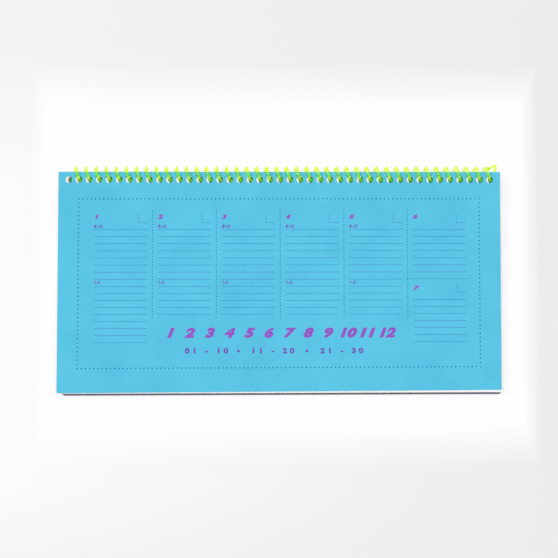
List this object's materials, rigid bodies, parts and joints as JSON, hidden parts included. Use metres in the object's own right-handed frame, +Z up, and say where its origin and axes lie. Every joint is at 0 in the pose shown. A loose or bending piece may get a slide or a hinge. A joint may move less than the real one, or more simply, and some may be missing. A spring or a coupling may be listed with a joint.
{
  "type": "weekly desk pad",
  "caption": "Landscape undated weekly desk pad: blue card cover, white sheets and grey back board, bound along the top edge by a neon plastic coil whose leaves turn over.",
  "frame": {"origin": "middle of the footprint, at the height of the desk", "axes": "+X along the bound edge, to the reader's right; +Y from the reader towards the coil; +Z up, out of the cover"},
  "size_m": [0.2802, 0.1436, 0.0099],
  "materials": {
    "blue_card": "matte",
    "white_paper": "matte",
    "grey_board": "matte",
    "neon_coil": "gloss"
  },
  "bodies": {
    "pad_back": {"back_board": "grey_board", "binding_coil": "neon_coil"},
    "sheets_21_to_30": {"sheets_21_to_30": "white_paper"},
    "sheets_11_to_20": {"sheets_11_to_20": "white_paper"},
    "sheet_10": {"sheet_10": "white_paper"},
    "sheet_09": {"sheet_09": "white_paper"},
    "sheet_08": {"sheet_08": "white_paper"},
    "sheet_07": {"sheet_07": "white_paper"},
    "sheet_06": {"sheet_06": "white_paper"},
    "sheet_05": {"sheet_05": "white_paper"},
    "sheet_04": {"sheet_04": "white_paper"},
    "sheet_03": {"sheet_03": "white_paper"},
    "sheet_02": {"sheet_02": "white_paper"},
    "sheet_01": {"sheet_01": "white_paper"},
    "front_cover": {"front_cover": "blue_card"}
  },
  "joints": [
    {"name": "sheets_21_to_30_turn", "type": "hinge", "parent": "pad_back", "child": "sheets_21_to_30", "pos_m": [0.00045, 0.0681, 0.00496], "axis": [-1, 0, 0], "range_deg": [0, 180], "deforming": ["binding_coil"]},
    {"name": "sheets_11_to_20_turn", "type": "hinge", "parent": "sheets_21_to_30", "child": "sheets_11_to_20", "pos_m": [0.00045, 0.0681, 0.00496], "axis": [-1, 0, 0], "range_deg": [0, 180], "deforming": ["binding_coil"]},
    {"name": "sheet_10_turn", "type": "hinge", "parent": "sheets_11_to_20", "child": "sheet_10", "pos_m": [0.00045, 0.0681, 0.00496], "axis": [-1, 0, 0], "range_deg": [0, 180], "deforming": ["binding_coil"]},
    {"name": "sheet_09_turn", "type": "hinge", "parent": "sheet_10", "child": "sheet_09", "pos_m": [0.00045, 0.0681, 0.00496], "axis": [-1, 0, 0], "range_deg": [0, 180], "deforming": ["binding_coil"]},
    {"name": "sheet_08_turn", "type": "hinge", "parent": "sheet_09", "child": "sheet_08", "pos_m": [0.00045, 0.0681, 0.00496], "axis": [-1, 0, 0], "range_deg": [0, 180], "deforming": ["binding_coil"]},
    {"name": "sheet_07_turn", "type": "hinge", "parent": "sheet_08", "child": "sheet_07", "pos_m": [0.00045, 0.0681, 0.00496], "axis": [-1, 0, 0], "range_deg": [0, 180], "deforming": ["binding_coil"]},
    {"name": "sheet_06_turn", "type": "hinge", "parent": "sheet_07", "child": "sheet_06", "pos_m": [0.00045, 0.0681, 0.00496], "axis": [-1, 0, 0], "range_deg": [0, 180], "deforming": ["binding_coil"]},
    {"name": "sheet_05_turn", "type": "hinge", "parent": "sheet_06", "child": "sheet_05", "pos_m": [0.00045, 0.0681, 0.00496], "axis": [-1, 0, 0], "range_deg": [0, 180], "deforming": ["binding_coil"]},
    {"name": "sheet_04_turn", "type": "hinge", "parent": "sheet_05", "child": "sheet_04", "pos_m": [0.00045, 0.0681, 0.00496], "axis": [-1, 0, 0], "range_deg": [0, 180], "deforming": ["binding_coil"]},
    {"name": "sheet_03_turn", "type": "hinge", "parent": "sheet_04", "child": "sheet_03", "pos_m": [0.00045, 0.0681, 0.00496], "axis": [-1, 0, 0], "range_deg": [0, 180], "deforming": ["binding_coil"]},
    {"name": "sheet_02_turn", "type": "hinge", "parent": "sheet_03", "child": "sheet_02", "pos_m": [0.00045, 0.0681, 0.00496], "axis": [-1, 0, 0], "range_deg": [0, 180], "deforming": ["binding_coil"]},
    {"name": "sheet_01_turn", "type": "hinge", "parent": "sheet_02", "child": "sheet_01", "pos_m": [0.00045, 0.0681, 0.00496], "axis": [-1, 0, 0], "range_deg": [0, 180], "deforming": ["binding_coil"]},
    {"name": "front_cover_turn", "type": "hinge", "parent": "sheet_01", "child": "front_cover", "pos_m": [0.00045, 0.0681, 0.00496], "axis": [-1, 0, 0], "range_deg": [0, 180], "deforming": ["binding_coil"]}
  ]
}
